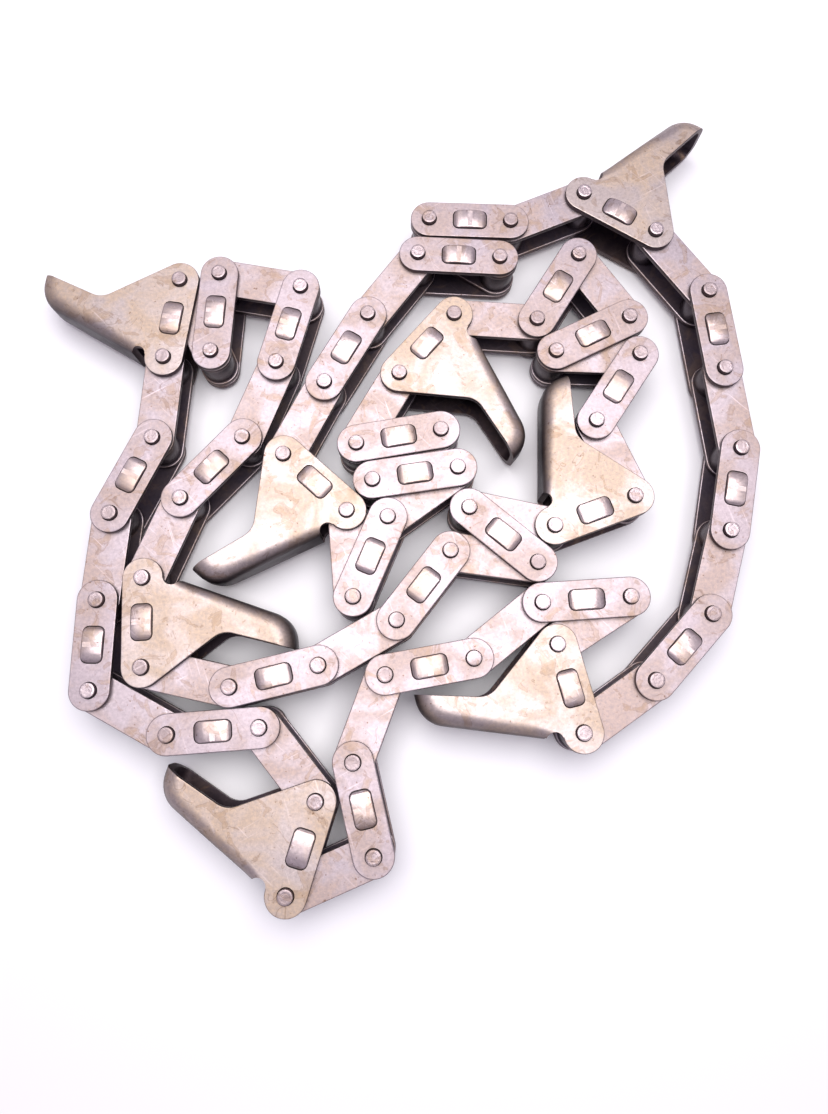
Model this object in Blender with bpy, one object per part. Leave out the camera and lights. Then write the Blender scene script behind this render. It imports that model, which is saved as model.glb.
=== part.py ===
# Heap of steel chain: one endless roller chain with folded lugs, lying on its side in loose folds.
# Metres, +Z up. The origin is on the floor, under the middle of the heap's box.

import itertools
import math

import bmesh
import bpy
import numpy as np

MM = 0.001

# Chain
PITCH = 41.4 * MM
PLATE_HEIGHT = 18.8 * MM
OUTER_THICKNESS = 2.8 * MM
INNER_THICKNESS = 2.8 * MM
INNER_WIDTH = 13.1 * MM
SIDE_GAP = 0.35 * MM
HEAD_PROUD = 2.3 * MM
PIN_DIAMETER = 7.2 * MM
BUSH_BORE = 8.6 * MM
ROLLER_DIAMETER = 16.6 * MM
ROLLER_ROOT = 1.0 * MM
MEETING_GAP = 0.3 * MM

# Raised bridge in the middle of every outer plate and lug plate
BRIDGE_LENGTH = 17.0 * MM
BRIDGE_WIDTH = 9.8 * MM
BRIDGE_RISE = 1.5 * MM
BRIDGE_SLOPE = 4.0 * MM

# Lug: a sheet folded along the back of its finger
FINGER_REACH = 69.8 * MM
FINGER_TIP_X = 36.2 * MM
FINGER_EDGE_LEAN = math.radians(16.5)
BACK_AT_TIP_X = 22.4 * MM
SHOULDER_ANGLE = math.radians(35.7)
ROOT_RADIUS = 10.0 * MM
TIP_RADIUS = 14.5 * MM
RELIEF_RADIUS = 3.85 * MM
RELIEF = (0.0, PLATE_HEIGHT / 2 + RELIEF_RADIUS)
RELIEF_TURN = 0.2
WALL_END_RADIUS = 5.9 * MM

# The bend is widest round the tip, like the bowl of a spoon
BEND_RADIUS = 5.5 * MM
TIP_BEND_RADIUS = 9.0 * MM

# Lines in a finger, with the half width of steel round each, that tell where it meets other links
FINGER_CORES = [((19.3, 40.0), (28.6, 62.6), 7.1), ((28.3, 50.0), (34.4, 68.0), 2.5)]

# Steps of the round stretches
EYE_STEPS = 6
INNER_EYE_STEPS = 4
PIN_SIDES = 8
BORE_SIDES = 8
ROLLER_SIDES = 8
RELIEF_SIDES = 9
BEND_STEPS = 3
FLAT_ENOUGH = math.radians(0.2)
ROUND_ENOUGH = math.radians(46)

# Heights above the floor
PIN_LENGTH = 2 * (HEAD_PROUD + OUTER_THICKNESS + SIDE_GAP + INNER_THICKNESS) + INNER_WIDTH
MID_HEIGHT = PIN_LENGTH / 2
OUTER_FACE = MID_HEIGHT - HEAD_PROUD
OUTER_INNER_FACE = OUTER_FACE - OUTER_THICKNESS
INNER_FACE = INNER_WIDTH / 2 + INNER_THICKNESS

EYE = PLATE_HEIGHT / 2

# Where the pins lie, in whole millimetres, seen from above. A row is one round of the chain's
# pattern: the two pins of a lug link, then the two pins of each of three outer links.
ROUNDS = [
    [(90, 253), (126, 232), (151, 199), (156, 158), (161, 117), (153, 76), (142, 37), (114, 6)],
    [(79, -17), (69, 23), (103, 47), (62, 43), (31, 16), (-10, 9), (-25, -30), (-15, -70)],
    [(-53, -87), (-41, -47), (-67, -15), (-108, -18), (-145, 1), (-144, 43), (-141, 84), (-123, 121)],
    [(-120, 163), (-114, 204), (-97, 166), (-95, 207), (-54, 200), (-65, 160), (-80, 122), (-108, 91)],
    [(-123, 52), (-121, 11), (-81, 4), (-40, 13), (-4, 34), (20, 67), (61, 62), (27, 85)],
    [(68, 80), (107, 93), (91, 131), (114, 165), (73, 166), (110, 185), (86, 218), (65, 183)],
    [(23, 185), (-4, 154), (-24, 118), (17, 124), (-16, 100), (25, 107), (-9, 82), (-26, 44)],
    [(-29, 85), (-60, 113), (-41, 150), (-20, 186), (5, 219), (46, 217), (11, 238), (52, 237)],
]

# Outer links that are one solid with the inner link before them, folded tight against it
FOLDED = (10, 17, 20, 24)

SETTLE_ROUNDS = 600
PITCH_SWEEPS = 4
REACH_OF_NEIGHBOURS = 3 * PITCH

LUG_COLOUR = (0.50, 0.43, 0.40, 1.0)
OUTER_COLOUR = (0.48, 0.42, 0.41, 1.0)
INNER_COLOUR = (0.42, 0.37, 0.37, 1.0)


def clear_scene():
    for thing in list(bpy.data.objects):
        bpy.data.objects.remove(thing, do_unlink=True)


def steel(name, colour):
    material = bpy.data.materials.new(name)
    material.use_nodes = True
    shader = material.node_tree.nodes["Principled BSDF"]
    shader.inputs["Base Color"].default_value = colour
    shader.inputs["Metallic"].default_value = 0.9
    shader.inputs["Roughness"].default_value = 0.42
    return material


def arc(centre, radius, start, end, steps):
    # Points from angle start to angle end, in radians
    turns = [start + (end - start) * k / steps for k in range(steps + 1)]
    return [(centre[0] + radius * math.cos(a), centre[1] + radius * math.sin(a)) for a in turns]


def fillet(before, corner, after, radius, steps):
    # Points of the arc that rounds the corner between two straight edges
    here = np.array(corner)
    back = np.array(before) - here
    ahead = np.array(after) - here
    back = back / np.linalg.norm(back)
    ahead = ahead / np.linalg.norm(ahead)
    half = math.acos(float(back @ ahead)) / 2
    first = here + back * radius / math.tan(half)
    last = here + ahead * radius / math.tan(half)
    middle = here + (back + ahead) / np.linalg.norm(back + ahead) * radius / math.sin(half)
    begin = math.atan2(first[1] - middle[1], first[0] - middle[0])
    finish = math.atan2(last[1] - middle[1], last[0] - middle[0])
    sweep = (finish - begin + math.pi) % (2 * math.pi) - math.pi
    return arc(middle, radius, begin, begin + sweep, steps)


def plate_outline(steps):
    # Round-ended plate: the first pin at the origin, the second one pitch along +X
    first = arc((0, 0), EYE, math.pi / 2, 1.5 * math.pi, steps)
    second = arc((PITCH, 0), EYE, -math.pi / 2, math.pi / 2, steps)
    return first + second


def lug_corners():
    # Places where the finger's straight edges would meet
    tip_back = (BACK_AT_TIP_X, FINGER_REACH)
    tip_front = (FINGER_TIP_X, FINGER_REACH)
    shoulder = (PITCH + EYE * math.cos(SHOULDER_ANGLE), EYE * math.sin(SHOULDER_ANGLE))
    lean = math.tan(FINGER_EDGE_LEAN)
    rise = math.cos(SHOULDER_ANGLE)
    run = math.sin(SHOULDER_ANGLE)
    gap = shoulder[0] - (tip_front[0] - lean * (tip_front[1] - shoulder[1]))
    along = gap / (run + lean * rise)
    root = (shoulder[0] - run * along, shoulder[1] + rise * along)
    return tip_back, tip_front, root, shoulder


def lug_outline():
    # A lug plate, counter-clockwise: its sheared edge, then its folded edge from tip to foot
    tip_back, tip_front, root, shoulder = lug_corners()
    sheared = arc((0, 0), EYE, math.pi / 2, 1.5 * math.pi, EYE_STEPS)
    sheared += arc((PITCH, 0), EYE, -math.pi / 2, SHOULDER_ANGLE, EYE_STEPS - 2)
    sheared += fillet(shoulder, root, tip_front, ROOT_RADIUS, 3)
    folded = [tip_front] + fillet(tip_front, tip_back, RELIEF, TIP_RADIUS, 3) + [RELIEF]
    return sheared, folded


def prism(name, outline, low, high):
    # Closed solid of a flat outline between two heights
    bm = bmesh.new()
    ring = [bm.verts.new((x, y, low)) for x, y in outline]
    face = bm.faces.new(ring)
    grown = bmesh.ops.extrude_face_region(bm, geom=[face])
    lifted = [v for v in grown["geom"] if isinstance(v, bmesh.types.BMVert)]
    bmesh.ops.translate(bm, verts=lifted, vec=(0, 0, high - low))
    bmesh.ops.remove_doubles(bm, verts=bm.verts, dist=0.001 * MM)
    bmesh.ops.recalc_face_normals(bm, faces=bm.faces)
    return solid_from(name, bm)


def solid_from(name, bm):
    mesh = bpy.data.meshes.new(name)
    bm.to_mesh(mesh)
    bm.free()
    thing = bpy.data.objects.new(name, mesh)
    bpy.context.scene.collection.objects.link(thing)
    return thing


def post(name, x, diameter, sides, low, high):
    # Upright cylinder on a pin's axis, with one flat turned to +X
    turn = math.pi / sides
    ring = arc((x, 0), diameter / 2, turn, turn + 2 * math.pi, sides)[:-1]
    return prism(name, ring, low, high)


def bridge(name, side):
    # Raised bridge on the outer face of the upper (side = 1) or lower (side = -1) plate
    bm = bmesh.new()
    bmesh.ops.create_cube(bm, size=1.0)
    buried = OUTER_THICKNESS / 2
    depth = BRIDGE_RISE + buried
    bmesh.ops.scale(bm, verts=bm.verts, vec=(BRIDGE_LENGTH, BRIDGE_WIDTH, depth))
    middle = OUTER_FACE + BRIDGE_RISE - depth / 2
    bmesh.ops.translate(bm, verts=bm.verts, vec=(PITCH / 2, 0, side * middle))
    for v in bm.verts:
        if side * v.co.z > middle:
            v.co.x += math.copysign(BRIDGE_SLOPE, PITCH / 2 - v.co.x)
    return solid_from(name, bm)


def combine(target, tools, operation):
    # Boolean of the target with each tool, applied, and the tools taken away
    for tool in tools:
        change = target.modifiers.new("cut", "BOOLEAN")
        change.object = tool
        change.operation = operation
        change.solver = "EXACT"
        graph = bpy.context.evaluated_depsgraph_get()
        mesh = bpy.data.meshes.new_from_object(target.evaluated_get(graph))
        target.modifiers.clear()
        target.data = mesh
        bpy.data.objects.remove(tool, do_unlink=True)
    return target


def pins():
    heads = MID_HEIGHT
    return [post("pin", x, PIN_DIAMETER, PIN_SIDES, -heads, heads) for x in (0, PITCH)]


def make_outer_link():
    outline = plate_outline(EYE_STEPS)
    lower = prism("outer_link_shape", outline, -OUTER_FACE, -OUTER_INNER_FACE)
    upper = prism("upper_plate", outline, OUTER_INNER_FACE, OUTER_FACE)
    bridges = [bridge("bridge", side) for side in (-1, 1)]
    return combine(lower, pins() + [upper] + bridges, "UNION")


def bend_radius(point):
    # Outer radius of the fold at a point of the finger's back. It is no wider than the relief is
    # where the fold runs out into it.
    share = max(0.0, point[1] / FINGER_REACH)
    radius = BEND_RADIUS + (TIP_BEND_RADIUS - BEND_RADIUS) * share ** 2
    return min(radius, max(RELIEF_RADIUS, math.dist(point, RELIEF)))


def folded_block(name, straight, folded, radii, half):
    # Solid of an outline whose folded edge is rounded over at the top and the bottom. The rounding
    # ends along the straight edge that comes before it.
    slide = np.array(straight[-1]) - np.array(folded[0])
    slide = slide / abs(slide[1])
    layers = []
    for k in range(BEND_STEPS + 1):
        turn = math.pi / 2 * k / BEND_STEPS
        insets = [radius * (1 - math.sin(turn)) for radius in radii]
        line = offset_line(folded, insets)
        line[0] = tuple(np.array(folded[0]) + slide * insets[0])
        depths = [BEND_RADIUS] * len(straight) + radii
        heights = [half - radius * (1 - math.cos(turn)) for radius in depths]
        layers.append([(*point, z) for point, z in zip(straight + line, heights)])
    layers += [[(x, y, -z) for x, y, z in layer] for layer in reversed(layers)]
    bm = bmesh.new()
    rings = [[bm.verts.new(point) for point in layer] for layer in layers]
    for upper, lower in zip(rings, rings[1:]):
        for k in range(len(upper)):
            bm.faces.new((upper[k - 1], upper[k], lower[k], lower[k - 1]))
    bm.faces.new(rings[0])
    bm.faces.new(rings[-1])
    bmesh.ops.dissolve_limit(bm, angle_limit=FLAT_ENOUGH, verts=bm.verts, edges=bm.edges)
    bmesh.ops.triangulate(bm, faces=bm.faces)
    bmesh.ops.recalc_face_normals(bm, faces=bm.faces)
    return solid_from(name, bm)


def across(way):
    return np.array((-way[1], way[0]))


def offset_line(points, distances):
    # The same line moved to its left, each corner by its own distance, with mitred corners
    line = [np.array(p) for p in points]
    moved = []
    for k, here in enumerate(line):
        before = line[max(k - 1, 0)]
        after = line[min(k + 1, len(line) - 1)]
        ways = []
        for a, b in ((before, here), (here, after)):
            if np.linalg.norm(b - a) > 0:
                ways.append(across(b - a) / np.linalg.norm(b - a))
        normal = sum(ways) / np.linalg.norm(sum(ways))
        moved.append(tuple(here + normal * distances[k] / float(normal @ ways[0])))
    return moved


def hollow_of_lug(folded):
    # The space between the plates: one sheet thickness inside the fold, open everywhere else
    left, right, down = -2 * EYE, PITCH + 2 * EYE, -2 * EYE
    line = [(right, FINGER_REACH)] + folded[1:]
    radii = [bend_radius(point) - OUTER_THICKNESS for point in line]
    inside = offset_line(line, [OUTER_THICKNESS] * len(line))
    over = RELIEF[1] - RELIEF_RADIUS / 2
    rest = [(-EYE / 3, over), (left, over), (left, down), (right, down)]
    return folded_block("hollow", rest, inside, radii, OUTER_INNER_FACE)


def make_lug_link():
    sheared, folded = lug_outline()
    radii = [bend_radius(point) for point in folded]
    block = folded_block("lug_link_shape", sheared, folded, radii, OUTER_FACE)
    end = RELIEF_TURN + 2 * math.pi
    relief = arc(RELIEF, RELIEF_RADIUS, RELIEF_TURN, end, RELIEF_SIDES)[:-1]
    wide = arc(RELIEF, WALL_END_RADIUS, RELIEF_TURN, end, RELIEF_SIDES)[:-1]
    cutters = [hollow_of_lug(folded), prism("relief", relief, -MID_HEIGHT, MID_HEIGHT),
               prism("wall_end", wide, -OUTER_INNER_FACE, OUTER_INNER_FACE)]
    combine(block, cutters, "DIFFERENCE")
    bridges = [bridge("bridge", side) for side in (-1, 1)]
    return combine(block, pins() + bridges, "UNION")


def make_inner_link(bores):
    # Two plates joined by a roller at each eye; bores gives the eyes that are bored for a pin
    outline = plate_outline(INNER_EYE_STEPS)
    half = INNER_WIDTH / 2
    lower = prism("inner_link_shape", outline, -INNER_FACE, -half)
    upper = prism("upper_plate", outline, half, INNER_FACE)
    reach = half + ROLLER_ROOT
    rollers = [post("roller", x, ROLLER_DIAMETER, ROLLER_SIDES, -reach, reach) for x in (0, PITCH)]
    combine(lower, rollers + [upper], "UNION")
    cutters = [post("bore", x, BUSH_BORE, BORE_SIDES, -MID_HEIGHT, MID_HEIGHT) for x in bores]
    return combine(lower, cutters, "DIFFERENCE")


def closest(a, b, c, d):
    # Nearest points of the two level segments a-b and c-d
    pairs = []
    for point, start, end, flip in ((a, c, d, False), (b, c, d, False), (c, a, b, True), (d, a, b, True)):
        way = end - start
        part = min(1.0, max(0.0, float((point - start) @ way) / float(way @ way)))
        other = start + way * part
        pairs.append((math.dist(point, other), other if flip else point, point if flip else other))
    return min(pairs, key=lambda pair: pair[0])


def push(places, first, second, lines, spacing):
    # Moves two links apart in the plane until their middle lines are a spacing apart
    gap, p, q = closest(*lines)
    if gap >= spacing:
        return 0.0
    step = (p - q) / max(gap, 1e-9) * (spacing - gap) / 2
    for k in first:
        places[k] += step
    for k in second:
        places[k] -= step
    return spacing - gap


def settle(places):
    # Brings neighbouring pins to one pitch and keeps the folds of the chain side by side
    count = len(places)
    for turn in range(SETTLE_ROUNDS):
        worst = 0.0
        for i in range(count):
            for j in range(i + 2, count, 2):
                a, b = places[i], places[(i + 1) % count]
                c, d = places[j], places[(j + 1) % count]
                if math.dist(a, c) > REACH_OF_NEIGHBOURS:
                    continue
                links = (i, (i + 1) % count), (j, (j + 1) % count)
                worst = max(worst, push(places, *links, (a, b, c, d), PLATE_HEIGHT + MEETING_GAP))
        for i in range(0, count, 8):
            for j, (low, high, half) in itertools.product(range(count), FINGER_CORES):
                c, d = places[j], places[(j + 1) % count]
                far = math.dist(places[i], c) > REACH_OF_NEIGHBOURS
                if far or min((i - j) % count, (j - i) % count) < 2:
                    continue
                core = on_floor([(low[0] * MM, low[1] * MM), (high[0] * MM, high[1] * MM)],
                                places[i], places[i + 1])
                links = (i, i + 1), (j, (j + 1) % count)
                spacing = EYE + half * MM + MEETING_GAP
                worst = max(worst, push(places, *links, (*core, c, d), spacing))
        for sweep in range(PITCH_SWEEPS):
            for i in range(count):
                a, b = places[i], places[(i + 1) % count]
                way = b - a
                short = PITCH - np.linalg.norm(way)
                step = way / np.linalg.norm(way) * short / 2
                places[i] = a - step
                places[(i + 1) % count] = b + step
    print("left over", round(worst / MM, 4))
    return places


def turn_of(a, b):
    return math.atan2(b[1] - a[1], b[0] - a[0])


def on_floor(outline, a, b):
    # The outline's points, moved from the link's own frame to its pins on the floor
    way = (b - a) / PITCH
    return [a + way * x + across(way) * y for x, y in outline]


def centre_of(places):
    # Middle of the heap's box, seen from above
    sheared, folded = lug_outline()
    points = []
    for i in range(0, len(places), 2):
        outline = sheared + folded if i % 8 == 0 else plate_outline(EYE_STEPS)
        points += on_floor(outline, places[i], places[i + 1])
    return (np.min(points, axis=0) + np.max(points, axis=0)) / 2


def lay(thing, a, b):
    # Puts a link with its first pin at a and its second towards b, its round stretches smooth
    thing.location = (a[0], a[1], MID_HEIGHT)
    thing.rotation_euler = (0, 0, turn_of(a, b))
    thing.data.shade_smooth()
    thing.data.set_sharp_from_angle(angle=ROUND_ENOUGH)


def copy_of(shape, name, colour):
    thing = bpy.data.objects.new(name, shape.data.copy())
    bpy.context.scene.collection.objects.link(thing)
    thing.data.name = name
    thing.data.materials.clear()
    thing.data.materials.append(steel(name + "_steel", colour))
    return thing


def folded_link(outer, inner, before, a, b, name):
    # An outer link and the inner link before it, as one solid
    thing = copy_of(outer, name, OUTER_COLOUR)
    arm = copy_of(inner, "arm", OUTER_COLOUR)
    turn = turn_of(before, a) - turn_of(a, b)
    arm.location = (-PITCH * math.cos(turn), -PITCH * math.sin(turn), 0)
    arm.rotation_euler = (0, 0, turn)
    bpy.context.view_layer.update()
    return combine(thing, [arm], "UNION")


def make_heap(places):
    lug, outer = make_lug_link(), make_outer_link()
    inner, arm = make_inner_link((0, PITCH)), make_inner_link((0,))
    count = len(places)
    outers = 0
    inners = 0
    for i in range(0, count, 2):
        before, a, b, after = (places[(i + k) % count] for k in (-1, 0, 1, 2))
        if i % 8 == 0:
            lay(copy_of(lug, f"lug_link_{i // 8 + 1}", LUG_COLOUR), a, b)
        else:
            outers += 1
            name = f"outer_link_{outers:02d}"
            if outers in FOLDED:
                lay(folded_link(outer, arm, before, a, b, f"folded_link_{outers:02d}"), a, b)
            else:
                lay(copy_of(outer, name, OUTER_COLOUR), a, b)
        following = outers + 1 if (i + 2) % 8 else 0
        if following not in FOLDED:
            inners += 1
            lay(copy_of(inner, f"inner_link_{inners:02d}", INNER_COLOUR), b, after)
    for shape in (lug, outer, inner, arm):
        bpy.data.objects.remove(shape, do_unlink=True)


def main():
    clear_scene()
    places = settle([np.array(p) * MM for row in ROUNDS for p in row])
    middle = centre_of(places)
    make_heap([p - middle for p in places])
    bpy.context.view_layer.update()
    print("solids", len(bpy.data.objects))


main()
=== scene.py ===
# %% [markdown]
# A heap of steel chain
#
# The object is one endless roller chain, lying on its side in loose folds. It has eight rounds of
# the same pattern: a link with a folded hollow finger, then three plain outer links, with inner
# links between them. The chain was made as a solid model first, and this lesson dresses that
# model: every link gets finely shaped plates, pins and rollers, and worn, oily steel.

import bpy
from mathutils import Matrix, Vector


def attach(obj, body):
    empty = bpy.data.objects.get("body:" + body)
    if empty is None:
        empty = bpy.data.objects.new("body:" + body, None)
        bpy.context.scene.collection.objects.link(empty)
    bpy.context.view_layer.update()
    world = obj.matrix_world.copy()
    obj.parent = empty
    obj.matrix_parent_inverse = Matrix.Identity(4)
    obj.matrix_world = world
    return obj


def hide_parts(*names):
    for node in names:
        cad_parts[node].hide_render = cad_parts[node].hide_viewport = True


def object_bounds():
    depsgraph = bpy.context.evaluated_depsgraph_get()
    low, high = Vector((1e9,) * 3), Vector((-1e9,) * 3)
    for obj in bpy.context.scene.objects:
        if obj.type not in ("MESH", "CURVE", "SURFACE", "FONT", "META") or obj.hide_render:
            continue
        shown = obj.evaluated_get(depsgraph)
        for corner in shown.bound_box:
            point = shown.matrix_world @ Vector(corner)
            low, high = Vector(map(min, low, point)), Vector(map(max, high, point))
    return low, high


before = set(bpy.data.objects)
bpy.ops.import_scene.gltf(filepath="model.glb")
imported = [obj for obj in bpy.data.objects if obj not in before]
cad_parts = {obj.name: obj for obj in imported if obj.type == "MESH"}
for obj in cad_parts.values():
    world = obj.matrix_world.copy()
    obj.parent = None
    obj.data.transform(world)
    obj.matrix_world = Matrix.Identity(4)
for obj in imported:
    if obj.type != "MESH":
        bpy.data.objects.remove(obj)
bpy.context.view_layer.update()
print("links in the model:", len(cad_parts))

# %% Tools of the lesson
import math

import bmesh
import bpy
import numpy as np
from mathutils import Matrix, Vector

MM = 0.001

# %% [markdown]
# Sizes
#
# A chain is made to its pitch, the distance between two pins. All links share it, so each kind of
# link is modelled once, flat at the origin, with its first pin at zero and its second pin one
# pitch along X. The heights are counted from the middle of the chain's width.

# %% Sizes of the links
PITCH = 41.4 * MM
PLATE_HEIGHT = 18.8 * MM
EYE = PLATE_HEIGHT / 2
THICKNESS = 2.8 * MM
OUTER_FACE = 12.5 * MM
OUTER_INNER_FACE = OUTER_FACE - THICKNESS
INNER_FACE = 9.35 * MM
INNER_INNER_FACE = INNER_FACE - THICKNESS
PIN_DIAMETER = 7.2 * MM
ROLLER_DIAMETER = 16.6 * MM
BUSHING_DIAMETER = 11.4 * MM
ROLLER_PLAY = 0.15 * MM
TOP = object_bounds()[1][2]
MIDDLE = TOP / 2
print("width over the pins:", round(TOP / MM, 2), "mm")

# %% [markdown]
# Where the pins lie
#
# The chain's folds are the model's own, so the pins are found in it instead of being typed in
# again. The tops of a link's two pins are its highest points. A head is eight-sided, so the middle
# of its box is its axis.

# %% Find the two pins of each outer link
TOP_BAND = 0.01 * MM


def pin_axes(node):
    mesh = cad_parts[node].data
    tops = [v.co.xy for v in mesh.vertices if v.co.z > TOP - TOP_BAND]
    axes = []
    for near in (tops[0], max(tops, key=lambda p: (p - tops[0]).length)):
        head = [p for p in tops if (p - near).length < 2 * PIN_DIAMETER]
        low = Vector((min(p.x for p in head), min(p.y for p in head)))
        high = Vector((max(p.x for p in head), max(p.y for p in head)))
        axes.append((low + high) / 2)
    return axes


LUG_EVERY = 4
ROUNDS = 8
outer_nodes = []
plain = 0
for number in range(ROUNDS * LUG_EVERY):
    if number % LUG_EVERY == 0:
        outer_nodes.append(f"lug_link_{number // LUG_EVERY + 1}")
    else:
        plain += 1
        name = f"outer_link_{plain:02d}"
        outer_nodes.append(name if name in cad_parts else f"folded_link_{plain:02d}")
pairs = [pin_axes(node) for node in outer_nodes]
print("outer links and lug links:", len(pairs))

# %% [markdown]
# The order of the two pins
#
# Between one outer link and the next lies an inner link, which is exactly one pitch long. So the
# second pin of a link is the one that is a pitch away from a pin of the next link.

# %% Put the pins in the chain's order
def misfit(a, b):
    return abs((a - b).length - PITCH)


for here, following in zip(pairs, pairs[1:] + pairs[:1]):
    ends = min(((a, b) for a in here for b in following), key=lambda ends: misfit(*ends))
    if ends[0] is here[0]:
        here.reverse()
axes = [axis for pair in pairs for axis in pair]
print("pins:", len(axes), "worst pitch error:",
      round(max(misfit(a, b) for a, b in zip(axes, axes[1:])) / MM, 4), "mm")

# %% Place a link on its pins
def place_on(first, second):
    turn = math.atan2(second.y - first.y, second.x - first.x)
    return Matrix.Translation((first.x, first.y, MIDDLE)) @ Matrix.Rotation(turn, 4, "Z")


# %% [markdown]
# Camera
#
# The photograph was taken from above, by hand, at about 38 cm over the floor. The view is a little
# tilted, and the point straight below the camera is in the lower half of the picture. The focal
# length is counted in the picture's own pixels, so the sensor's height turns it into millimetres.

# %% Camera
CAMERA_PLACE = Vector((7.09, -101.0, 380.8)) * MM
PICTURE_HEIGHT = 1114
FOCAL_LENGTH = 765.18
TILT_X, TILT_Y = 0.175538, -0.0084785
SENSOR_HEIGHT = 36.0
camera_data = bpy.data.cameras.new("camera")
camera_data.sensor_fit = "VERTICAL"
camera_data.sensor_height = SENSOR_HEIGHT
camera_data.lens = SENSOR_HEIGHT * FOCAL_LENGTH / PICTURE_HEIGHT
camera = bpy.data.objects.new("camera", camera_data)
look = Matrix.Rotation(TILT_Y, 4, "Y") @ Matrix.Rotation(TILT_X, 4, "X")
camera.matrix_world = Matrix.Translation(CAMERA_PLACE) @ look
bpy.context.scene.collection.objects.link(camera)
bpy.context.scene.camera = camera
print("lens:", round(camera_data.lens, 2), "mm")

# %% [markdown]
# Steel that has been used
#
# The links are bare steel with a thin dried film of oil and dust: grey with a warm, slightly pink
# cast, tan clouds, a few brown stains with crisp edges, and fine scratches. Each of these effects
# is a node group, so that every kind of steel takes it with its own strength. The patterns read
# object coordinates in metres, and a piece's place is in its mesh, so no two links look alike.

# %% Helpers for node groups
def new_group(name, inputs, outputs):
    group = bpy.data.node_groups.new(name, "ShaderNodeTree")
    for socket, kind, value in inputs:
        made = group.interface.new_socket(socket, in_out="INPUT", socket_type=kind)
        if value is not None:
            made.default_value = value
    for socket, kind in outputs:
        group.interface.new_socket(socket, in_out="OUTPUT", socket_type=kind)
    return group, group.nodes.new("NodeGroupInput"), group.nodes.new("NodeGroupOutput")


def node_in(tree, kind, **settings):
    node = tree.nodes.new(kind)
    for setting, value in settings.items():
        setattr(node, setting, value)
    return node


def noise_in(tree, place, scale, detail=4.0, roughness=0.55, bend=0.0, stretch=None):
    noise = node_in(tree, "ShaderNodeTexNoise")
    noise.inputs["Distortion"].default_value = bend
    noise.inputs["Scale"].default_value = scale
    noise.inputs["Detail"].default_value = detail
    noise.inputs["Roughness"].default_value = roughness
    if stretch is not None:
        mapping = node_in(tree, "ShaderNodeMapping", vector_type="TEXTURE")
        mapping.inputs["Rotation"].default_value = stretch[0]
        mapping.inputs["Scale"].default_value = stretch[1]
        tree.links.new(place, mapping.inputs["Vector"])
        place = mapping.outputs["Vector"]
    tree.links.new(place, noise.inputs["Vector"])
    return noise.outputs["Fac"]


def ramp_in(tree, value, stops):
    ramp = node_in(tree, "ShaderNodeValToRGB")
    while len(ramp.color_ramp.elements) < len(stops):
        ramp.color_ramp.elements.new(1.0)
    for element, (position, level) in zip(ramp.color_ramp.elements, stops):
        element.position = position
        element.color = (level, level, level, 1.0)
    tree.links.new(value, ramp.inputs["Fac"])
    return ramp.outputs["Color"]


def math_in(tree, operation, first, second, clamp=False):
    node = node_in(tree, "ShaderNodeMath", operation=operation, use_clamp=clamp)
    for socket, value in zip(node.inputs, (first, second)):
        if isinstance(value, (int, float)):
            socket.default_value = value
        else:
            tree.links.new(value, socket)
    return node.outputs["Value"]


# A Mix node has sockets for numbers, vectors and colours, with the same names
COLOUR_BELOW, COLOUR_ABOVE, COLOUR_RESULT = 6, 7, 2


def blend_in(tree, share, below, above):
    node = node_in(tree, "ShaderNodeMix", data_type="RGBA", clamp_factor=True)
    tree.links.new(share, node.inputs["Factor"])
    for number, colour in ((COLOUR_BELOW, below), (COLOUR_ABOVE, above)):
        if isinstance(colour, tuple):
            node.inputs[number].default_value = (*colour, 1.0)
        else:
            tree.links.new(colour, node.inputs[number])
    return node.outputs[COLOUR_RESULT]


# %% [markdown]
# Clouds, stains and dried oil
#
# Handling leaves broad tan clouds. Oil leaves rusty patches that are darker along their rims, and
# where a drop has dried it leaves a thin curved line. The steel is finely mottled all over, with a
# few dark flecks. Pictures of the stains could be wrapped round each link, but noise needs no
# pictures and differs from link to link. A noise cut sharply gives a patch, and a narrow band of the
# same noise gives its rim. The group puts out a mask for each effect, and one that tells how far a
# face leans away from level, which the steels use to paint shade on the leaning faces.

# %% Node group: oil film
CLOUD_SCALE, PATCH_SCALE, DROP_SCALE, DROP_GATE_SCALE = 44.0, 90.0, 48.0, 55.0
MOTTLE_SCALE, FLECK_SCALE = 620.0, 480.0
CLOUD_BEND, PATCH_BEND, DROP_BEND = 0.6, 0.9, 1.2


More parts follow.
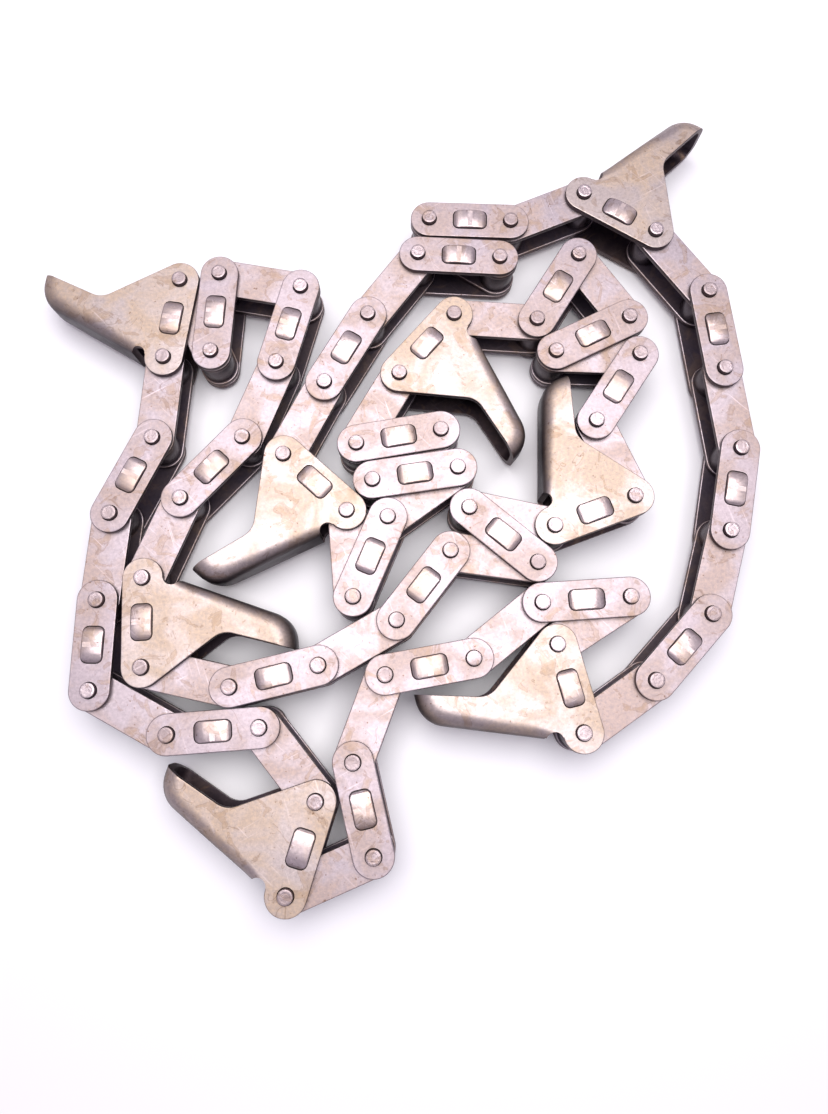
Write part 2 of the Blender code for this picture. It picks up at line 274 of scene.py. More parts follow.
def make_film_group():
    group, start, end = new_group(
        "oil_film",
        [("Place", "NodeSocketVector", None)],
        [(name, "NodeSocketFloat") for name in
         ("Cloud", "Stain", "Rim", "Drop", "Mottle", "Fleck", "Lean")])
    place = start.outputs["Place"]

    def give(name, value, stops):
        group.links.new(ramp_in(group, value, stops), end.inputs[name])

    cloud = noise_in(group, place, CLOUD_SCALE, detail=5.0, roughness=0.6, bend=CLOUD_BEND)
    give("Cloud", cloud, [(0.42, 0.0), (0.60, 1.0)])
    patch = noise_in(group, place, PATCH_SCALE, detail=5.0, bend=PATCH_BEND)
    give("Stain", patch, [(0.57, 0.0), (0.66, 1.0)])
    give("Rim", patch, [(0.575, 0.0), (0.59, 1.0), (0.625, 0.0)])
    drop = noise_in(group, place, DROP_SCALE, detail=2.0, roughness=0.5, bend=DROP_BEND)
    line = ramp_in(group, drop, [(0.475, 0.0), (0.485, 1.0), (0.495, 0.0)])
    here_and_there = noise_in(group, place, DROP_GATE_SCALE, detail=2.0)
    gate = ramp_in(group, here_and_there, [(0.57, 0.0), (0.63, 1.0)])
    group.links.new(math_in(group, "MULTIPLY", line, gate), end.inputs["Drop"])
    mottle = noise_in(group, place, MOTTLE_SCALE, detail=5.0, roughness=0.7)
    give("Mottle", mottle, [(0.35, 0.0), (0.65, 1.0)])
    fleck = noise_in(group, place, FLECK_SCALE, detail=4.0, roughness=0.65)
    give("Fleck", fleck, [(0.655, 0.0), (0.69, 1.0)])
    normal = node_in(group, "ShaderNodeNewGeometry").outputs["Normal"]
    parts = node_in(group, "ShaderNodeSeparateXYZ")
    group.links.new(normal, parts.inputs["Vector"])
    # Faces that lean away from level get painted shade from this mask
    give("Lean", math_in(group, "ABSOLUTE", parts.outputs["Z"], 0.0),
         [(0.15, 1.0), (0.5, 0.75), (0.92, 0.0)])
    return group


film_group = make_film_group()
print("group:", film_group.name)

# %% [markdown]
# Scratches and grain
#
# Rolled sheet has a fine grain, and links that rub on each other scratch in a few directions. Noise
# that is stretched strongly along one axis makes such lines. Three turned copies are enough, and
# another noise lets them through only here and there.

# %% Node group: scratches
SCRATCH_TURNS = ((0.5, 700.0), (-0.75, 900.0), (1.9, 600.0))
SCRATCH_STRETCH = (25.0, 1.0, 1.0)
SCRATCH_GATE_SCALE = 60.0
GRAIN_SCALE = 1500.0


def make_scratch_group():
    group, start, end = new_group(
        "scratches",
        [("Place", "NodeSocketVector", None)],
        [("Lines", "NodeSocketFloat"), ("Grain", "NodeSocketFloat")])
    place = start.outputs["Place"]
    lines = None
    for turn, scale in SCRATCH_TURNS:
        stretch = ((0.0, 0.0, turn), SCRATCH_STRETCH)
        strand = noise_in(group, place, scale, detail=2.0, roughness=0.5, stretch=stretch)
        line = ramp_in(group, strand, [(0.66, 0.0), (0.72, 1.0)])
        lines = line if lines is None else math_in(group, "MAXIMUM", lines, line)
    here_and_there = noise_in(group, place, SCRATCH_GATE_SCALE, detail=2.0)
    gate = ramp_in(group, here_and_there, [(0.45, 0.0), (0.62, 1.0)])
    group.links.new(math_in(group, "MULTIPLY", lines, gate), end.inputs["Lines"])
    grain = noise_in(group, place, GRAIN_SCALE, detail=3.0, roughness=0.6)
    group.links.new(grain, end.inputs["Grain"])
    return group


scratch_group = make_scratch_group()
print("group:", scratch_group.name)

# %% [markdown]
# One kind of steel
#
# All steels share one recipe: a clean shade and a tan shade mixed by the clouds, rust in the
# patches, brown in the lines and flecks, and light in the scratches. Leaning faces get painted
# shade. The dried film is duller than clean steel, so the roughness follows the clouds, and a
# scratch shines. The shader stays in the material, and only the masks come from the groups.

# %% The steel recipe
STAIN = (0.165, 0.080, 0.038)
RUST = (0.37, 0.235, 0.135)
OIL_MARKS = (("Stain", 0.50, RUST), ("Rim", 0.34, STAIN), ("Drop", 0.55, STAIN),
             ("Fleck", 0.80, STAIN))
MOTTLE_SHARE, MOTTLE_SHADE = 0.6, 0.62
SCRATCH_GAIN, SCRATCH_LIFT = 1.4, 0.08
SCRATCH_GLOSS, SCRATCH_DEPTH = -0.08, -0.4
BUMP_DISTANCE = 0.10 * MM
BUMP_STRENGTH = 0.5
# Painted shade: the colour that leaning faces are darkened towards
LEAN_SHADE_COLOUR = (0.030, 0.020, 0.028)


def make_steel(name, bare, tan, stains=0.9, scratches=0.3, lean_shade=0.75, roughness=(0.40, 0.55),
               metallic=0.75, grain=0.12, dents=0.3):
    material = bpy.data.materials.new(name)
    material.use_nodes = True
    tree = material.node_tree
    shader = tree.nodes["Principled BSDF"]
    shader.inputs["Metallic"].default_value = metallic
    place = node_in(tree, "ShaderNodeTexCoord").outputs["Object"]
    film = node_in(tree, "ShaderNodeGroup", node_tree=film_group)
    marks = node_in(tree, "ShaderNodeGroup", node_tree=scratch_group)
    for group in (film, marks):
        tree.links.new(place, group.inputs["Place"])
    colour = blend_in(tree, film.outputs["Cloud"], bare, tan)
    dark = tuple(level * MOTTLE_SHADE for level in bare)
    mottle = math_in(tree, "MULTIPLY", film.outputs["Mottle"], MOTTLE_SHARE)
    colour = blend_in(tree, mottle, colour, dark)
    for mask, strength, shade in OIL_MARKS:
        share = math_in(tree, "MULTIPLY", film.outputs[mask], strength * stains)
        colour = blend_in(tree, share, colour, shade)
    light = tuple(min(1.0, level * SCRATCH_GAIN + SCRATCH_LIFT) for level in bare)
    line = math_in(tree, "MULTIPLY", marks.outputs["Lines"], scratches)
    colour = blend_in(tree, line, colour, light)
    # Painted shade on the faces that lean away from level
    colour = blend_in(tree, math_in(tree, "MULTIPLY", film.outputs["Lean"], lean_shade), colour, LEAN_SHADE_COLOUR)
    tree.links.new(colour, shader.inputs["Base Color"])
    rough = ramp_in(tree, film.outputs["Cloud"], [(0.0, roughness[0]), (1.0, roughness[1])])
    rough = math_in(tree, "ADD", rough, math_in(tree, "MULTIPLY", line, SCRATCH_GLOSS), clamp=True)
    tree.links.new(rough, shader.inputs["Roughness"])
    height = math_in(tree, "ADD", math_in(tree, "MULTIPLY", marks.outputs["Grain"], grain),
                     math_in(tree, "MULTIPLY", line, SCRATCH_DEPTH))
    height = math_in(tree, "ADD", height, math_in(tree, "MULTIPLY", film.outputs["Mottle"], dents))
    bump = node_in(tree, "ShaderNodeBump")
    bump.inputs["Distance"].default_value = BUMP_DISTANCE
    bump.inputs["Strength"].default_value = BUMP_STRENGTH
    tree.links.new(height, bump.inputs["Height"])
    tree.links.new(bump.outputs["Normal"], shader.inputs["Normal"])
    return material


# %% Steels of the chain
lug_steel = make_steel("lug_steel", (0.57, 0.48, 0.46), (0.60, 0.46, 0.35), lean_shade=1.0)
outer_steel = make_steel("outer_plate_steel", (0.49, 0.41, 0.44), (0.53, 0.41, 0.37))
inner_steel = make_steel("inner_plate_steel", (0.52, 0.44, 0.47), (0.55, 0.42, 0.37),
                         scratches=0.5)
# Dark: the sheared sides' own steel, and painted shade on every upright face
edge_and_shade_steel = make_steel("sheared_edge_steel", (0.16, 0.12, 0.13), (0.20, 0.14, 0.13), stains=0.5,
                        lean_shade=0.5)
# Nearly black: painted shade on the faces between the plates
inside_shade_steel = make_steel("inside_face_steel", (0.085, 0.066, 0.086), (0.110, 0.078, 0.080),
                          stains=0.3, lean_shade=0.6, metallic=0.5)
# Nearly black: painted shade in the rings round the pins and the slits round the bridges
gap_steel = make_steel("gap_steel", (0.012, 0.008, 0.010), (0.020, 0.012, 0.010), stains=0.2,
                       lean_shade=0.5, roughness=(0.6, 0.8), metallic=0.2)
bridge_steel = make_steel("bridge_steel", (0.66, 0.55, 0.55), (0.60, 0.46, 0.38), stains=0.8,
                          scratches=0.5, lean_shade=0.85, roughness=(0.32, 0.46))
pin_steel = make_steel("pin_steel", (0.60, 0.50, 0.52), (0.40, 0.31, 0.30), lean_shade=0.9,
                       roughness=(0.32, 0.48), grain=0.25, dents=1.6)
# Nearly black: painted shade on the rollers and bushings between the plates
roller_steel = make_steel("roller_steel", (0.075, 0.058, 0.072), (0.10, 0.075, 0.080), stains=0.4,
                          lean_shade=0.2, roughness=(0.28, 0.42))
# Nearly black: painted shade inside the fold of a lug
hollow_steel = make_steel("hollow_steel", (0.060, 0.042, 0.054), (0.090, 0.060, 0.058), stains=0.5,
                          lean_shade=0.4)
print("steels:", sorted(m.name for m in bpy.data.materials if m.name.endswith("_steel")))

# %% [markdown]
# From a bmesh to a piece
#
# A finished link is one mesh, with one material slot for each of its steels. Its doubles are merged
# and its normals turned outwards while it is still at the origin. Then the place of its pins goes
# into the mesh, and the object itself stays at the origin.

# %% Helpers for pieces
WELD_DISTANCE = 0.004 * MM


def weld(bm):
    bmesh.ops.remove_doubles(bm, verts=bm.verts, dist=WELD_DISTANCE)
    bmesh.ops.recalc_face_normals(bm, faces=bm.faces)


def add_shape(bm, build, *values, slot=0):
    # Builds a closed shape in a bmesh of its own, and copies it into the link's bmesh
    shape = bmesh.new()
    build(shape, *values)
    weld(shape)
    for face in shape.faces:
        if face.material_index == 0:
            face.material_index = slot
    mesh = bpy.data.meshes.new("shape")
    shape.to_mesh(mesh)
    shape.free()
    bm.from_mesh(mesh)
    bpy.data.meshes.remove(mesh)


SMALL_FLAT = 5 * MM * MM
SHARP_ANGLE = math.radians(32)
LEVEL = 0.9999


def template(name, bm, materials):
    # The large flats are shaded flat, so that the rims beside them don't bend their light
    mesh = bpy.data.meshes.new(name)
    bm.normal_update()
    for face in bm.faces:
        face.smooth = abs(face.normal.z) < LEVEL or face.calc_area() < SMALL_FLAT
    for edge in bm.edges:
        edge.smooth = len(edge.link_faces) != 2 or edge.calc_face_angle(0.0) < SHARP_ANGLE
    bm.to_mesh(mesh)
    bm.free()
    for material in materials:
        mesh.materials.append(material)
    return mesh


def piece(name, mesh, place, nodes):
    made = mesh.copy()
    made.name = name
    made.transform(place)
    thing = bpy.data.objects.new(name, made)
    bpy.context.scene.collection.objects.link(thing)
    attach(thing, "root")
    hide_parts(*nodes)
    return thing


# %% [markdown]
# Plates
#
# A plate is punched from strip. Punching rolls the rims over a little, and the side between them is
# rough. The upright sides are dark, partly from the sheared steel and partly as painted shade, and
# the inner face, which looks into the gap between the plates, is nearly black as painted shade. The
# shape is a rectangle whose corners are rounded by half its height, extruded, with bevelled rims.

# %% Shape of a plate
EYE_STEPS = 14
NEARLY_ROUND = 0.9999
SAME_POINT = 0.01 * MM
RIM = 0.45 * MM
RIM_STEPS = 2
SHEARED = 0.3
# Slots of the dark steels, which paint shade on upright faces and on the faces between the plates
EDGE_AND_SHADE_SLOT, INSIDE_SHADE_SLOT = 1, 2


def rounded_rectangle(bm, length, width, radius, steps, height):
    made = bmesh.ops.create_grid(bm, x_segments=1, y_segments=1, size=0.5)
    bmesh.ops.scale(bm, verts=made["verts"], vec=(length, width, 1))
    bmesh.ops.translate(bm, verts=made["verts"], vec=(PITCH / 2, 0, height))
    bmesh.ops.bevel(bm, geom=made["verts"], offset=radius, offset_type="OFFSET", segments=steps,
                    profile=0.5, affect="VERTICES", material=-1)
    bmesh.ops.remove_doubles(bm, verts=bm.verts, dist=SAME_POINT)


def raise_up(bm, height):
    # Extrudes every face upwards
    grown = bmesh.ops.extrude_face_region(bm, geom=bm.faces[:])
    lifted = [v for v in grown["geom"] if isinstance(v, bmesh.types.BMVert)]
    bmesh.ops.translate(bm, verts=lifted, vec=(0, 0, height))
    bmesh.ops.recalc_face_normals(bm, faces=bm.faces)
    return lifted


def ease(bm, edges, rim, steps):
    bmesh.ops.bevel(bm, geom=edges, offset=rim, offset_type="OFFSET", segments=steps,
                    profile=0.5, affect="EDGES", material=-1)


def flats_of(bm):
    return [face for face in bm.faces if abs(face.normal.z) > LEVEL]


def plate_shape(bm, top):
    rounded_rectangle(bm, PITCH + 2 * EYE, 2 * EYE, EYE * NEARLY_ROUND, EYE_STEPS,
                      top - THICKNESS)
    raise_up(bm, THICKNESS)
    flats = flats_of(bm)
    ease(bm, [edge for face in flats for edge in face.edges], RIM, RIM_STEPS)
    # Upright faces take the dark steel, partly painted shade, and the inner face takes painted shade
    for face in bm.faces:
        face.material_index = 0 if abs(face.normal.z) > SHEARED else EDGE_AND_SHADE_SLOT
        if face.normal.z < -LEVEL:
            face.material_index = INSIDE_SHADE_SLOT


# %% [markdown]
# Gaps round the pins and the bridges
#
# A pin leaves a narrow ring in its plate, and pressing leaves a narrow slit round a bridge. They
# are cut with solids, once in each kind of plate, because an exact boolean on one small mesh takes
# no time. The cutters have a near-black steel that paints shade into these narrow recesses, and the
# cut faces keep it.

# %% Carving, and the cutter of the ring
# Slot of the near-black steel that paints shade in the narrow gaps
GAP_SHADE_SLOT = 3
RING_WIDTH = 0.5 * MM
RING_DEPTH = 1.0 * MM
RING_TAPER = 0.93
RING_STEPS = 24


def object_of(name, bm, materials=()):
    mesh = bpy.data.meshes.new(name)
    bm.to_mesh(mesh)
    bm.free()
    for material in materials:
        mesh.materials.append(material)
    thing = bpy.data.objects.new(name, mesh)
    bpy.context.scene.collection.objects.link(thing)
    return thing


def carve(thing, cutters, operation="DIFFERENCE"):
    # Cuts the thing with the cutters and gives back its mesh as a bmesh
    for cutter in cutters:
        change = thing.modifiers.new("carve", "BOOLEAN")
        change.object = cutter
        change.operation = operation
        change.solver = "EXACT"
    graph = bpy.context.evaluated_depsgraph_get()
    mesh = bpy.data.meshes.new_from_object(thing.evaluated_get(graph))
    for done in [thing] + cutters:
        bpy.data.objects.remove(done, do_unlink=True)
    carved = bmesh.new()
    carved.from_mesh(mesh)
    bpy.data.meshes.remove(mesh)
    return carved


def marked(bm, slot):
    for face in bm.faces:
        face.material_index = slot
    bmesh.ops.recalc_face_normals(bm, faces=bm.faces)
    return bm


def ring_cutter(x, top, slot):
    bm = bmesh.new()
    radius = PIN_DIAMETER / 2 + RING_WIDTH
    bmesh.ops.create_cone(bm, cap_ends=True, cap_tris=False, segments=RING_STEPS,
                          radius1=radius * RING_TAPER, radius2=radius, depth=2 * RING_DEPTH)
    bmesh.ops.translate(bm, verts=bm.verts, vec=(x, 0, top))
    return object_of("ring_cutter", marked(bm, slot))


# %% [markdown]
# Bridges
#
# In the middle of every outer plate and lug plate the press has raised a small bridge, an arch from
# end to end with a nearly flat back. Rubbing keeps its back bright. A scaled box would have hard
# corners, so the footprint gets round corners first, and is cut into strips, so that it can be
# raised and bent to the arch.

# %% Shape of a bridge
BRIDGE_LENGTH = 17.0 * MM
BRIDGE_WIDTH = 9.8 * MM
BRIDGE_CORNER = 2.8 * MM
BRIDGE_CORNER_STEPS = 4
BRIDGE_RISE = 1.5 * MM
BRIDGE_BURIED = 1.2 * MM
BRIDGE_RIM = 0.7 * MM
BRIDGE_RIM_STEPS = 3
BRIDGE_STRIPS = 14
ARCH_POWER = 3.2
CROWN_LEAN = 0.5
THIN = 0.001 * MM


def bridge_shape(bm, top):
    rounded_rectangle(bm, BRIDGE_LENGTH, BRIDGE_WIDTH, BRIDGE_CORNER, BRIDGE_CORNER_STEPS,
                      top - BRIDGE_BURIED)
    for k in range(1, BRIDGE_STRIPS):
        x = PITCH / 2 + BRIDGE_LENGTH * (k / BRIDGE_STRIPS - 0.5)
        geometry = bm.verts[:] + bm.edges[:] + bm.faces[:]
        bmesh.ops.bisect_plane(bm, geom=geometry, dist=THIN, plane_co=(x, 0, 0),
                               plane_no=(1, 0, 0))
    for v in raise_up(bm, BRIDGE_BURIED):
        share = min(1.0, abs(v.co.x - PITCH / 2) / (BRIDGE_LENGTH / 2))
        v.co.z += BRIDGE_RISE * (1 - share ** ARCH_POWER)
    bmesh.ops.recalc_face_normals(bm, faces=bm.faces)
    crown = [face for face in bm.faces if face.normal.z > CROWN_LEAN]
    rims = [edge for face in crown for edge in face.edges
            if sum(other in crown for other in edge.link_faces) == 1]
    ease(bm, rims, BRIDGE_RIM, BRIDGE_RIM_STEPS)


# %% Cutter of the slit round a bridge
SLIT_WIDTH = 0.24 * MM
SLIT_DEPTH = 0.8 * MM


def slit_cutter(top, slot):
    bm = bmesh.new()
    corner = BRIDGE_CORNER + SLIT_WIDTH
    size = (BRIDGE_LENGTH + 2 * SLIT_WIDTH, BRIDGE_WIDTH + 2 * SLIT_WIDTH)
    rounded_rectangle(bm, *size, corner, BRIDGE_CORNER_STEPS, top - SLIT_DEPTH)
    raise_up(bm, 2 * SLIT_DEPTH)
    return object_of("slit_cutter", marked(bm, slot))


# %% [markdown]
# Pins
#
# A pin goes through the whole width of the chain, and its ends stand proud of the outer plates. The
# riveting press has flattened its ends, dished them a little and left a chamfer round them. Such a
# profile could be spun, but a cylinder with bevelled and inset ends gives the same in fewer lines.

# %% Shape of a pin
PIN_STEPS = 20
CHAMFER = 0.6 * MM
CHAMFER_STEPS = 2
HEAD_RIM = 0.2 * MM
DISH_INSET = 1.0 * MM
DISH_DEPTH = 0.15 * MM
HEAD_LEAN = 0.9


def cylinder(bm, x, diameter, length, steps, rim):
    made = bmesh.ops.create_cone(bm, cap_ends=True, cap_tris=False, segments=steps,
                                 radius1=diameter / 2, radius2=diameter / 2, depth=length)
    bmesh.ops.translate(bm, verts=made["verts"], vec=(x, 0, 0))
    bmesh.ops.recalc_face_normals(bm, faces=bm.faces)
    ease(bm, [edge for face in flats_of(bm) for edge in face.edges], rim, CHAMFER_STEPS)


def pin_shape(bm, x):
    cylinder(bm, x, PIN_DIAMETER, TOP, PIN_STEPS, CHAMFER)
    bmesh.ops.inset_region(bm, faces=flats_of(bm), thickness=HEAD_RIM)
    bmesh.ops.inset_region(bm, faces=flats_of(bm), thickness=DISH_INSET, depth=-DISH_DEPTH)
    # The chamfer and the side take the dark steel, painted shade round the head
    for face in bm.faces:
        face.material_index = 0 if abs(face.normal.z) > HEAD_LEAN else EDGE_AND_SHADE_SLOT


# %% Template of the outer link
OUTER_SLOTS = [outer_steel, edge_and_shade_steel, inside_shade_steel, gap_steel, bridge_steel, pin_steel]
BRIDGE_SLOT, PIN_SLOT = 4, 5


def mirror_down(bm):
    # Copies everything above the middle to the other side of the chain
    copied = bmesh.ops.duplicate(bm, geom=bm.verts[:] + bm.edges[:] + bm.faces[:])
    verts = [v for v in copied["geom"] if isinstance(v, bmesh.types.BMVert)]
    faces = [f for f in copied["geom"] if isinstance(f, bmesh.types.BMFace)]
    bmesh.ops.scale(bm, verts=verts, vec=(1, 1, -1))
    bmesh.ops.reverse_faces(bm, faces=faces)


def make_outer_template():
    flat = bmesh.new()
    plate_shape(flat, OUTER_FACE)
    weld(flat)
    cutters = [ring_cutter(x, OUTER_FACE, GAP_SHADE_SLOT) for x in (0, PITCH)]
    cutters.append(slit_cutter(OUTER_FACE, GAP_SHADE_SLOT))
    bm = carve(object_of("plate", flat, OUTER_SLOTS), cutters)
    add_shape(bm, bridge_shape, OUTER_FACE, slot=BRIDGE_SLOT)
    mirror_down(bm)
    for x in (0, PITCH):
        add_shape(bm, pin_shape, x, slot=PIN_SLOT)
    return template("outer_link", bm, OUTER_SLOTS)


outer_template = make_outer_template()
print("outer link:", len(outer_template.polygons), "faces")

# %% [markdown]
# Inner links
# An inner link has two plates with a bushing pressed into them at each eye, and a roller that turns
# on each bushing. The rollers are what the sprocket's teeth push against, so they are worn smooth.
# Rollers and bushings are coloured nearly black, as painted shade between the plates. All four are
# round, so they are cylinders with eased rims.

# %% Template of the inner link
ROLLER_STEPS = 28
ROLLER_RIM = 0.6 * MM
BUSHING_RIM = 0.3 * MM
INNER_SLOTS = [inner_steel, edge_and_shade_steel, inside_shade_steel, roller_steel]
ROLLER_SLOT = 3


def make_inner_template():
    bm = bmesh.new()
    add_shape(bm, plate_shape, INNER_FACE)
    mirror_down(bm)
    gap = 2 * INNER_INNER_FACE
    for x in (0, PITCH):
        add_shape(bm, cylinder, x, ROLLER_DIAMETER, gap - 2 * ROLLER_PLAY, ROLLER_STEPS,
                  ROLLER_RIM, slot=ROLLER_SLOT)
        add_shape(bm, cylinder, x, BUSHING_DIAMETER, gap + THICKNESS, ROLLER_STEPS, BUSHING_RIM,
                  slot=ROLLER_SLOT)
    return template("inner_link", bm, INNER_SLOTS)


inner_template = make_inner_template()
print("inner link:", len(inner_template.polygons), "faces")

# %% [markdown]
# Lug links
#
# A lug link is one sheet. Its two plates are joined by a fold along the back and round the tip of
# the finger, and the inner edge is open. The fold is wide, and widest round the tip, like the bowl
# of a spoon. A flat mesh would crumple if it were bent round such a tip, so the lug is made like a
# carving. A thick block gets a rounded fold, an upright prism of the sheared outline trims it, and a
# smaller block, one sheet thickness inside the first, hollows it out.

# %% Sizes of the lug
FINGER_REACH = 69.8 * MM
FINGER_TIP_X = 36.2 * MM
BACK_AT_TIP_X = 22.4 * MM
FINGER_EDGE_LEAN = math.radians(16.5)
SHOULDER_ANGLE = math.radians(35.7)
ROOT_RADIUS = 10.0 * MM
TIP_RADIUS = 14.5 * MM
RELIEF_RADIUS = 3.85 * MM
RELIEF = Vector((0, EYE + RELIEF_RADIUS))
WALL_END_RADIUS = 4.5 * MM
BEND_RADIUS = 5.5 * MM
TIP_BEND_RADIUS = 9.0 * MM
BEND_STEPS = 10
BACK_STEPS = 10
TIP_STEPS = 14
ROOT_STEPS = 8
BEND_END = 0.4 * MM
LUG_SLOTS = [lug_steel, edge_and_shade_steel, hollow_steel, gap_steel, bridge_steel, pin_steel]


def between(start, end, steps):
    # Points after the start, up to the end
    return [start.lerp(end, k / steps) for k in range(1, steps + 1)]


def arc_points(centre, radius, start, end, steps):
    return [centre + radius * Vector((math.cos(a), math.sin(a)))
            for a in np.linspace(start, end, steps + 1)]


def round_corner(before, corner, after, radius, steps):
    back, ahead = (before - corner).normalized(), (after - corner).normalized()
    half = back.angle(ahead) / 2
    first = corner + back * radius / math.tan(half)
    middle = corner + (back + ahead).normalized() * radius / math.sin(half)
    sweep = math.pi - 2 * half
    spoke = first - middle
    side = 1 if back.x * ahead.y < back.y * ahead.x else -1
    return [middle + Matrix.Rotation(side * sweep * k / steps, 2) @ spoke for k in range(steps + 1)]


# %% Outline of the lug
SPARE = 2.0 * MM
TIP_BACK = Vector((BACK_AT_TIP_X, FINGER_REACH))
TIP_FRONT = Vector((FINGER_TIP_X, FINGER_REACH))


def trim_outline():
    # The sheared edge from the first eye round to the tip. Past the fold it runs outside the lug.
    first = arc_points(Vector((0, 0)), EYE, math.pi / 2, 1.5 * math.pi, 2 * EYE_STEPS)
    second = arc_points(Vector((PITCH, 0)), EYE, -math.pi / 2, SHOULDER_ANGLE, 2 * EYE_STEPS)
    shoulder = second[-1]
    rise, run = math.cos(SHOULDER_ANGLE), math.sin(SHOULDER_ANGLE)
    lean = math.tan(FINGER_EDGE_LEAN)
    gap = shoulder.x - (TIP_FRONT.x - lean * (TIP_FRONT.y - shoulder.y))
    root = shoulder + Vector((-run, rise)) * gap / (run + lean * rise)
    edge = round_corner(shoulder, root, TIP_FRONT, ROOT_RADIUS, ROOT_STEPS)
    back = (RELIEF - TIP_BACK).normalized()
    outwards = Vector((back.y, -back.x)) * SPARE
    beyond = [TIP_FRONT + Vector((lean, 1)) * SPARE, TIP_BACK + outwards - back * SPARE]
    return first + second + edge + beyond + [RELIEF + outwards]


def fold_line():
    # The fold from the tip to its foot. At the tip it starts beyond the sheared edge.
    bend = round_corner(TIP_FRONT, TIP_BACK, RELIEF, TIP_RADIUS, TIP_STEPS)
    start = Vector((PITCH + 2 * EYE, FINGER_REACH))
    return [start] + bend + between(bend[-1], RELIEF, BACK_STEPS)


print("trim:", len(trim_outline()), "points, fold:", len(fold_line()), "points")

# %% Layers of a folded block
TRIM_OVER = 0.02 * MM


def bend_radius(point):
    # The relief at the foot ends the bend, so nothing wider than the relief starts there
    share = max(0.0, point.y / FINGER_REACH)
    radius = BEND_RADIUS + (TIP_BEND_RADIUS - BEND_RADIUS) * share ** 2
    return min(radius, max(RELIEF_RADIUS, (point - RELIEF).length))


def moved_in(line, insets):
    # The line's points, each moved to the left of the line by its own inset
    ways = [(after - before).normalized() for before, after in zip(line, line[1:])]
    moved = []
    for here, inset, before, after in zip(line, insets, ways[:1] + ways, ways + ways[-1:]):
        middle = (before + after).normalized()
        moved.append(here + Vector((-middle.y, middle.x)) * inset / middle.dot(after))
    return moved


def folded_block(name, half, inset, slot):
    # A block that is rounded over along the fold, at the top and the bottom. It lies the inset
    # inside the outer face of the sheet, and its other edges lie outside the lug.
    fold = fold_line()
    left, right, down = -2 * EYE, PITCH + 2 * EYE, -2 * EYE
    over = RELIEF.y - RELIEF_RADIUS / 2
    rest = [Vector(p) for p in ((-EYE / 3, over), (left, over), (left, down), (right, down))]
    radii = [bend_radius(point) - inset for point in fold]
    upper = []
    for k in range(BEND_STEPS + 1):
        turn = math.pi / 2 * k / BEND_STEPS
        insets = [inset + radius * (1 - math.cos(turn)) for radius in radii]
        heights = [half - radius * (1 - math.sin(turn)) for radius in radii]
        line = [(p.x, p.y, z) for p, z in zip(moved_in(fold, insets), heights)]
        level = half - BEND_RADIUS * (1 - math.sin(turn))
        upper.append(line + [(p.x, p.y, level) for p in rest])
    insets = [inset + radius + BEND_END for radius in radii]
    upper.append([(p.x, p.y, half) for p in moved_in(fold, insets) + rest])
    layers = [[(x, y, -z) for x, y, z in layer] for layer in reversed(upper)] + upper
    bm = bmesh.new()
    ring = [bm.verts.new(place) for place in layers[0]]
    edges = list(bm.faces.new(ring).edges)
    for layer in layers[1:]:
        grown = bmesh.ops.extrude_edge_only(bm, edges=edges)["geom"]
        edges = [item for item in grown if isinstance(item, bmesh.types.BMEdge)]
        fresh = {item for item in grown if isinstance(item, bmesh.types.BMVert)}
        ring = [next(edge.other_vert(v) for edge in v.link_edges if edge.other_vert(v) in fresh)
                for v in ring]
        for v, place in zip(ring, layer):
            v.co = place
    bm.faces.new(ring)
    bmesh.ops.remove_doubles(bm, verts=bm.verts, dist=THIN)
    return object_of(name, marked(bm, slot), LUG_SLOTS)


def trim_prism():
    half = OUTER_FACE + TRIM_OVER
    bm = bmesh.new()
    bm.faces.new([bm.verts.new((p.x, p.y, -half)) for p in trim_outline()])
    raise_up(bm, 2 * half)
    ease(bm, [edge for face in flats_of(bm) for edge in face.edges], RIM, RIM_STEPS)
    # Upright faces take the dark steel, partly painted shade
    for face in bm.faces:
        face.material_index = 0 if abs(face.normal.z) > SHEARED else EDGE_AND_SHADE_SLOT
    return object_of("trim", bm, LUG_SLOTS)


# %% Template of the lug link
RELIEF_STEPS = 32


def relief_cutter(radius, half, slot):
    bm = bmesh.new()
    bmesh.ops.create_cone(bm, cap_ends=True, cap_tris=False, segments=RELIEF_STEPS,
                          radius1=radius, radius2=radius, depth=2 * half)
    bmesh.ops.translate(bm, verts=bm.verts, vec=(*RELIEF, 0))
    return object_of("relief_cutter", marked(bm, slot))


def make_lug_template():
    block = folded_block("lug", OUTER_FACE, 0.0, 0)
    trimmed = object_of("lug", carve(block, [trim_prism()], "INTERSECT"), LUG_SLOTS)
    # The hollow's faces take the near-black steel, painted shade inside the fold
    cutters = [folded_block("hollow", OUTER_INNER_FACE, THICKNESS, INSIDE_SHADE_SLOT),
               relief_cutter(RELIEF_RADIUS, MIDDLE, EDGE_AND_SHADE_SLOT),
               relief_cutter(WALL_END_RADIUS, OUTER_INNER_FACE, EDGE_AND_SHADE_SLOT)]
    for side in (-1, 1):
        cutters += [ring_cutter(x, side * OUTER_FACE, GAP_SHADE_SLOT) for x in (0, PITCH)]
        cutters.append(slit_cutter(side * OUTER_FACE, GAP_SHADE_SLOT))
    bm = carve(trimmed, cutters)
    fittings = bmesh.new()
    add_shape(fittings, bridge_shape, OUTER_FACE, slot=BRIDGE_SLOT)
    mirror_down(fittings)
    for x in (0, PITCH):
        add_shape(fittings, pin_shape, x, slot=PIN_SLOT)
    mesh = bpy.data.meshes.new("fittings")
    fittings.to_mesh(mesh)
    fittings.free()
    bm.from_mesh(mesh)
    return template("lug_link", bm, LUG_SLOTS)


lug_template = make_lug_template()
print("lug link:", len(lug_template.polygons), "faces")

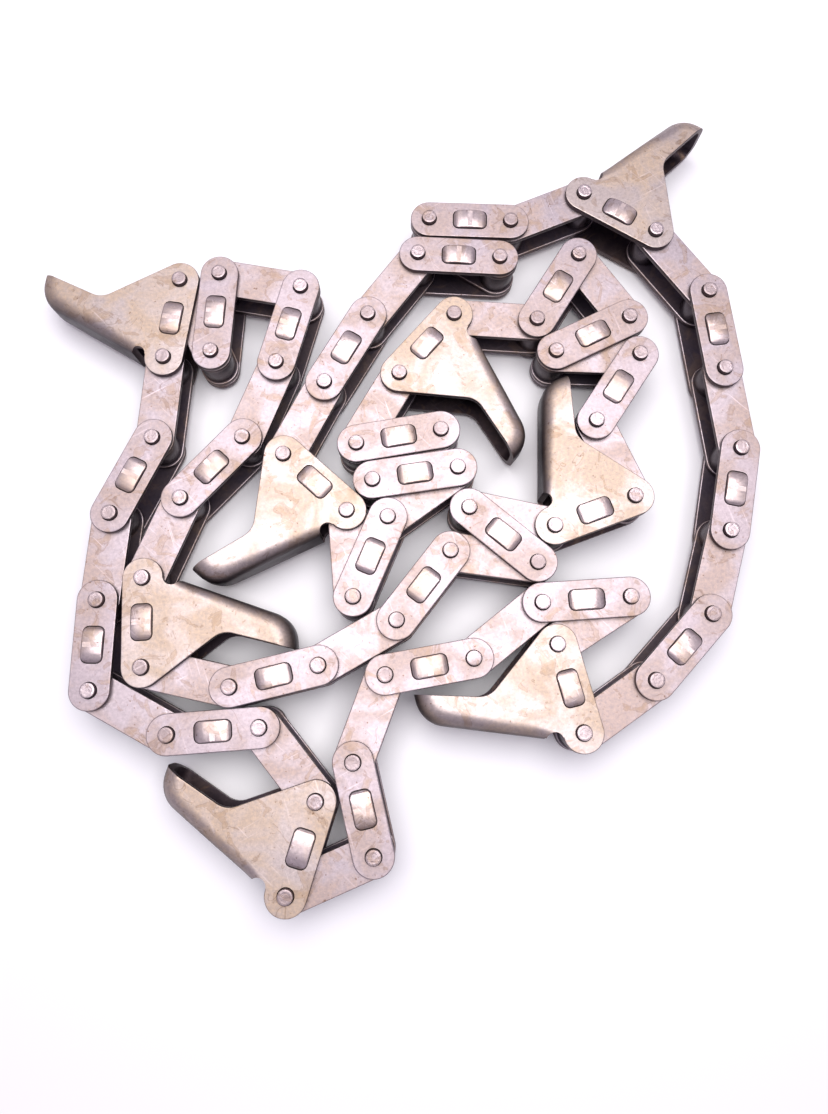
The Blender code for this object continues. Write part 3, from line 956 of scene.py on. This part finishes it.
# %% [markdown]
# Lay the chain
#
# Every link takes the place that its pins give it. A tight fold is one solid in the model, an outer
# link with the inner link before it, so both of its dressed links stand for that solid.

# %% Links on their pins
inner_number = 0
pieces = []
for number, node in enumerate(outer_nodes):
    first, second = pairs[number]
    if node.startswith("lug"):
        pieces.append(piece(node + "_steel", lug_template, place_on(first, second), [node]))
    else:
        pieces.append(piece(node + "_steel", outer_template, place_on(first, second), [node]))
    following = outer_nodes[(number + 1) % len(outer_nodes)]
    next_pin = pairs[(number + 1) % len(pairs)][0]
    if following.startswith("folded"):
        stands_for = following
    else:
        inner_number += 1
        stands_for = f"inner_link_{inner_number:02d}"
    name = "inner_" + following + "_steel" if stands_for == following else stands_for + "_steel"
    pieces.append(piece(name, inner_template, place_on(second, next_pin), [stands_for]))
print("links:", len(pieces), "triangles:",
      sum(len(p.vertices) - 2 for thing in pieces for p in thing.data.polygons))

# %% [markdown]
# Floor and light
#
# The heap lies on a plain pale floor. One wide softbox hangs over it, a little towards the far side,
# and a weak cool sky fills the shadows. A lamp in front would light the sides too. From above, the
# flats mirror the softbox and turn bright, and the folds turn away from it and go dark.

# %% Floor
FLOOR_HALF = 2.5
FLOOR_COLOUR = (0.93, 0.92, 0.94, 1.0)
FLOOR_ROUGHNESS = 0.7
FLOOR_SHINE = 0.2


def make_floor():
    material = bpy.data.materials.new("pale_floor")
    material.use_nodes = True
    shader = material.node_tree.nodes["Principled BSDF"]
    shader.inputs["Base Color"].default_value = FLOOR_COLOUR
    shader.inputs["Roughness"].default_value = FLOOR_ROUGHNESS
    shader.inputs["Specular IOR Level"].default_value = FLOOR_SHINE
    bm = bmesh.new()
    bmesh.ops.create_grid(bm, x_segments=1, y_segments=1, size=FLOOR_HALF)
    mesh = bpy.data.meshes.new("floor")
    bm.to_mesh(mesh)
    bm.free()
    mesh.materials.append(material)
    floor = bpy.data.objects.new("floor", mesh)
    bpy.context.scene.collection.objects.link(floor)


make_floor()
print("floor:", 2 * FLOOR_HALF, "m wide")

# %% Light
LAMP_PLACE = Vector((0.03, 0.13, 0.85))
LAMP_TARGET = Vector((0, 0.03, 0))
LAMP_SIZE = (0.9, 0.84)
LAMP_POWER = 10.4
LAMP_COLOUR = (1.0, 0.98, 0.97)
SKY_COLOUR = (0.82, 0.74, 1.0, 1.0)
SKY_STRENGTH = 0.36


def make_softbox():
    data = bpy.data.lights.new("top_light", "AREA")
    data.shape = "RECTANGLE"
    data.size, data.size_y = LAMP_SIZE
    data.energy = LAMP_POWER
    data.color = LAMP_COLOUR
    lamp = bpy.data.objects.new("top_light", data)
    aim = (LAMP_TARGET - LAMP_PLACE).to_track_quat("-Z", "Y")
    lamp.matrix_world = Matrix.Translation(LAMP_PLACE) @ aim.to_matrix().to_4x4()
    bpy.context.scene.collection.objects.link(lamp)


def make_sky():
    world = bpy.data.worlds.new("studio")
    world.use_nodes = True
    background = world.node_tree.nodes["Background"]
    background.inputs["Color"].default_value = SKY_COLOUR
    background.inputs["Strength"].default_value = SKY_STRENGTH
    bpy.context.scene.world = world


make_softbox()
make_sky()
bpy.context.scene.view_settings.view_transform = "Standard"
